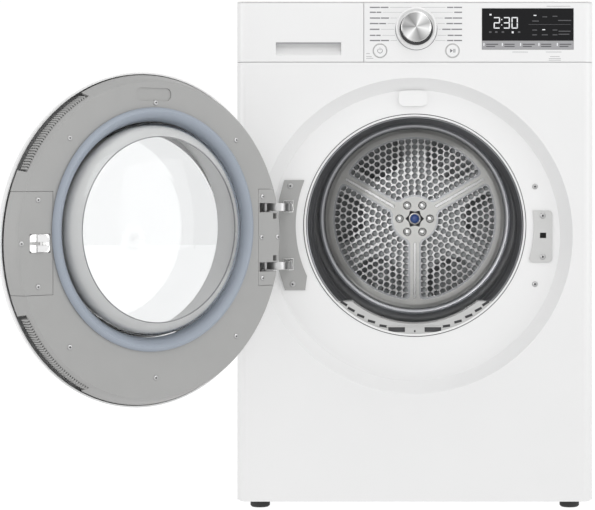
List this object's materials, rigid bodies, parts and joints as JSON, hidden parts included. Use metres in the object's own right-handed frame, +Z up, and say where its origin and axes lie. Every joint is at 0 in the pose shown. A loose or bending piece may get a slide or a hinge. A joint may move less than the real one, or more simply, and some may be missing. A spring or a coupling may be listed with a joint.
{
  "type": "clothes dryer",
  "caption": "Front-loading heat-pump clothes dryer with a round glass door standing open, a perforated steel drum, lint filter, water tank drawer, knob and display.",
  "frame": {"origin": "on the floor, under the middle of the cabinet", "axes": "+X to the right seen from the front, +Y to the back, +Z up; the door stands open at rest"},
  "size_m": [0.9222, 1.0311, 0.85],
  "materials": {
    "white_steel": "smooth powder coat",
    "white_plastic": "semi-gloss moulded plastic",
    "grey_plastic": "fine matte texture",
    "light_grey_plastic": "satin",
    "dark_plastic": "matte",
    "black_glass": "glossy window",
    "stainless": "polished and brushed",
    "bright_steel": "plated",
    "zinc_sheet": "galvanised",
    "clear_glass": "clear",
    "clear_plastic": "clear moulded window",
    "seal_rubber": "soft satin",
    "black_rubber": "matte",
    "felt": "pressed felt",
    "black_paint": "satin",
    "copper": "drawn tube",
    "aluminium": "fins"
  },
  "bodies": {
    "cabinet": {"side_panel_left": "white_steel", "side_panel_right": "white_steel", "top_plate": "white_plastic", "front_panel": "white_plastic", "control_panel": "white_plastic", "back_panel": "zinc_sheet", "rear_duct_cover": "zinc_sheet", "base_tray": "dark_plastic", "front_bulkhead": "light_grey_plastic", "rear_bulkhead": "zinc_sheet", "opening_trim_ring": "light_grey_plastic", "filter_housing": "light_grey_plastic", "rear_bearing": "bright_steel", "front_felt_seal": "felt", "drive_belt": "black_rubber", "idler_spring": "bright_steel", "motor": "zinc_sheet", "compressor": "black_paint", "heat_exchangers": "aluminium", "refrigerant_pipes": "copper", "condensate_pump": "white_plastic", "rear_fittings": "dark_plastic", "hinge_plate": "grey_plastic", "hinge_arms": "bright_steel", "catch_plate": "grey_plastic", "door_lock": "dark_plastic", "front_screws": "bright_steel", "display_panel": "black_glass"},
    "door": {"door_outer_cover": "white_plastic", "door_window": "clear_plastic", "door_inner_ring": "grey_plastic", "door_glass": "clear_glass", "door_seal": "seal_rubber", "latch_cover": "grey_plastic", "door_hook": "bright_steel", "hinge_cover": "grey_plastic", "door_screws": "bright_steel", "hinge_pins": "bright_steel"},
    "drum": {"drum_shell": "stainless", "drum_back_plate": "stainless", "drum_lifters": "light_grey_plastic", "drum_shaft": "black_paint", "hub_screws": "bright_steel"},
    "motor_rotor": {"motor_shaft": "bright_steel", "fan_impeller": "light_grey_plastic"},
    "idler_arm": {"idler_arm": "zinc_sheet"},
    "idler_pulley": {"idler_pulley": "dark_plastic"},
    "roller_left": {"drum_roller_left": "black_rubber"},
    "roller_right": {"drum_roller_right": "black_rubber"},
    "knob": {"knob": "bright_steel"},
    "power_button": {"power_button": "white_plastic"},
    "start_button": {"start_button": "white_plastic"},
    "water_tank": {"water_tank": "white_plastic"},
    "outer_filter": {"lint_filter_outer": "light_grey_plastic"},
    "inner_filter": {"lint_filter_inner": "light_grey_plastic"},
    "latch_bolt": {"latch_bolt": "bright_steel"},
    "foot_front_left": {"foot_front_left": "black_rubber"},
    "foot_front_right": {"foot_front_right": "black_rubber"},
    "foot_back_left": {"foot_back_left": "black_rubber"},
    "foot_back_right": {"foot_back_right": "black_rubber"}
  },
  "joints": [
    {"name": "door_swing", "type": "hinge", "parent": "cabinet", "child": "door", "pos_m": [-0.248, -0.348, 0.458], "axis": [0, 0, -1], "range_deg": [-137.5, 7.5]},
    {"name": "drum_spin", "type": "hinge", "parent": "cabinet", "child": "drum", "pos_m": [0, 0, 0.475], "axis": [0, 1, 0], "continuous": true},
    {"name": "motor_spin", "type": "hinge", "parent": "cabinet", "child": "motor_rotor", "pos_m": [0.12, 0.1, 0.11], "axis": [0, 1, 0], "continuous": true},
    {"name": "idler_arm_swing", "type": "hinge", "parent": "cabinet", "child": "idler_arm", "pos_m": [0.07, 0.109, 0.062], "axis": [0, -1, 0], "range_deg": [0, 15], "stiffness_Nm_per_rad": 1.5, "springref_deg": -17.19, "deforming": ["idler_spring"]},
    {"name": "idler_spin", "type": "hinge", "parent": "idler_arm", "child": "idler_pulley", "pos_m": [0.053, 0.1, 0.1094], "axis": [0, 1, 0], "continuous": true},
    {"name": "roller_left_spin", "type": "hinge", "parent": "cabinet", "child": "roller_left", "pos_m": [-0.13338, -0.255, 0.31605], "axis": [0, 1, 0], "continuous": true},
    {"name": "roller_right_spin", "type": "hinge", "parent": "cabinet", "child": "roller_right", "pos_m": [0.13338, -0.255, 0.31605], "axis": [0, 1, 0], "continuous": true},
    {"name": "knob_turn", "type": "hinge", "parent": "cabinet", "child": "knob", "pos_m": [0.0026, -0.33, 0.806], "axis": [0, 1, 0], "continuous": true},
    {"name": "power_press", "type": "slide", "parent": "cabinet", "child": "power_button", "axis": [0, 1, 0], "range_m": [0, 0.0015], "stiffness_N_per_m": 400, "springref_m": -0.001},
    {"name": "start_press", "type": "slide", "parent": "cabinet", "child": "start_button", "axis": [0, 1, 0], "range_m": [0, 0.0015], "stiffness_N_per_m": 400, "springref_m": -0.001},
    {"name": "tank_slide", "type": "slide", "parent": "cabinet", "child": "water_tank", "axis": [0, -1, 0], "range_m": [0, 0.46]},
    {"name": "outer_filter_lift", "type": "slide", "parent": "cabinet", "child": "outer_filter", "axis": [0, 0, 1], "range_m": [0, 0.18]},
    {"name": "inner_filter_lift", "type": "slide", "parent": "outer_filter", "child": "inner_filter", "axis": [0, 0, 1], "range_m": [0, 0.11]},
    {"name": "latch_bolt_slide", "type": "slide", "parent": "cabinet", "child": "latch_bolt", "axis": [1, 0, 0], "range_m": [0, 0.0015], "stiffness_N_per_m": 400, "springref_m": -0.001},
    {"name": "foot_front_left_screw", "type": "slide", "parent": "cabinet", "child": "foot_front_left", "axis": [0, 0, -1], "range_m": [0, 0.015]},
    {"name": "foot_front_right_screw", "type": "slide", "parent": "cabinet", "child": "foot_front_right", "axis": [0, 0, -1], "range_m": [0, 0.015]},
    {"name": "foot_back_left_screw", "type": "slide", "parent": "cabinet", "child": "foot_back_left", "axis": [0, 0, -1], "range_m": [0, 0.015]},
    {"name": "foot_back_right_screw", "type": "slide", "parent": "cabinet", "child": "foot_back_right", "axis": [0, 0, -1], "range_m": [0, 0.015]}
  ],
  "couplings": [
    {"joint": "motor_spin", "follows": "drum_spin", "ratio": 20.493},
    {"joint": "idler_spin", "follows": "drum_spin", "ratio": -16.833},
    {"joint": "roller_left_spin", "follows": "drum_spin", "ratio": -9.36},
    {"joint": "roller_right_spin", "follows": "drum_spin", "ratio": -9.36}
  ]
}
